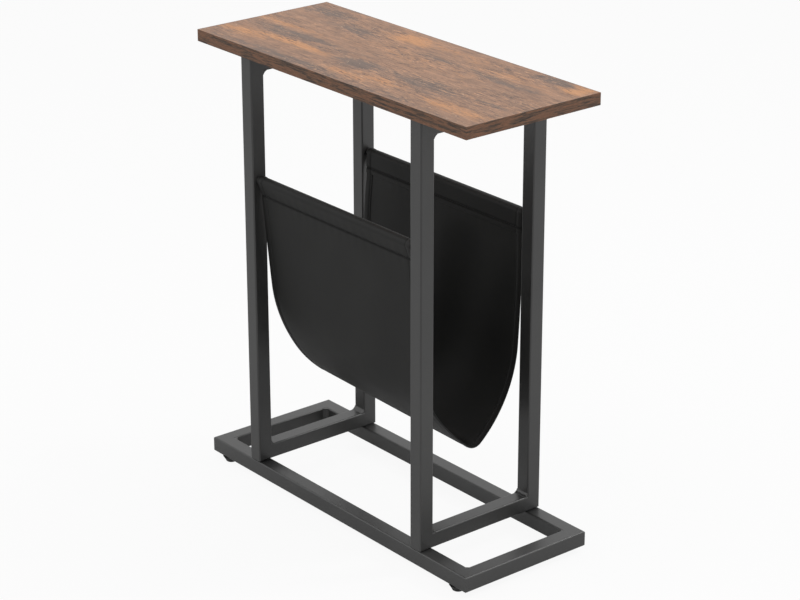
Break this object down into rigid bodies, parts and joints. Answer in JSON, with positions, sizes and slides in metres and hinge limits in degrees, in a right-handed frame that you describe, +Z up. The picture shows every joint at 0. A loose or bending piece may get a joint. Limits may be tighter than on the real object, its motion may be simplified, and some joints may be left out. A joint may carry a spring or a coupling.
{
  "type": "side table",
  "caption": "Narrow side table with a brown wood-print top, charcoal square-tube frames and base, and a black cloth sling for magazines.",
  "frame": {"origin": "on the floor under the middle of the board", "axes": "+X along the board to the right, -Y to the front, +Z up"},
  "size_m": [0.51, 0.202, 0.585],
  "materials": {
    "board": "brown rustic wood print on a board, satin, darker patches and a fine lengthwise grain",
    "edge_band": "red-brown wood-print edge band, satin",
    "powder_coat": "charcoal powder coat, matte with a fine texture",
    "zinc_steel": "zinc-plated steel, dull silver",
    "foot_plastic": "black moulded plastic, matte",
    "sling_fabric": "black woven synthetic cloth, matte"
  },
  "bodies": {
    "table": {"tabletop_board": "board", "edge_band_front": "edge_band", "edge_band_back": "edge_band", "edge_band_left": "edge_band", "edge_band_right": "edge_band", "left_front_leg": "powder_coat", "left_back_leg": "powder_coat", "left_top_crossbar": "powder_coat", "left_bottom_crossbar": "powder_coat", "left_frame_welds": "powder_coat", "right_front_leg": "powder_coat", "right_back_leg": "powder_coat", "right_top_crossbar": "powder_coat", "right_bottom_crossbar": "powder_coat", "right_frame_welds": "powder_coat", "base_front_rail": "powder_coat", "base_back_rail": "powder_coat", "base_left_rail": "powder_coat", "base_right_rail": "powder_coat", "base_frame_welds": "powder_coat", "front_hanger_rod": "powder_coat", "back_hanger_rod": "powder_coat", "tabletop_bolts": "zinc_steel", "tabletop_inserts": "zinc_steel", "frame_bolts": "zinc_steel", "frame_bolt_inserts": "zinc_steel", "foot_inserts": "zinc_steel", "sling": "sling_fabric"},
    "front_left_foot": {"front_left_foot_pad": "foot_plastic", "front_left_foot_stud": "zinc_steel"},
    "front_right_foot": {"front_right_foot_pad": "foot_plastic", "front_right_foot_stud": "zinc_steel"},
    "back_left_foot": {"back_left_foot_pad": "foot_plastic", "back_left_foot_stud": "zinc_steel"},
    "back_right_foot": {"back_right_foot_pad": "foot_plastic", "back_right_foot_stud": "zinc_steel"}
  },
  "joints": [
    {"name": "front_left_foot_travel", "type": "slide", "parent": "table", "child": "front_left_foot", "axis": [0, 0, -1], "range_m": [0, 0.008]},
    {"name": "front_right_foot_travel", "type": "slide", "parent": "table", "child": "front_right_foot", "axis": [0, 0, -1], "range_m": [0, 0.008]},
    {"name": "back_left_foot_travel", "type": "slide", "parent": "table", "child": "back_left_foot", "axis": [0, 0, -1], "range_m": [0, 0.008]},
    {"name": "back_right_foot_travel", "type": "slide", "parent": "table", "child": "back_right_foot", "axis": [0, 0, -1], "range_m": [0, 0.008]}
  ]
}
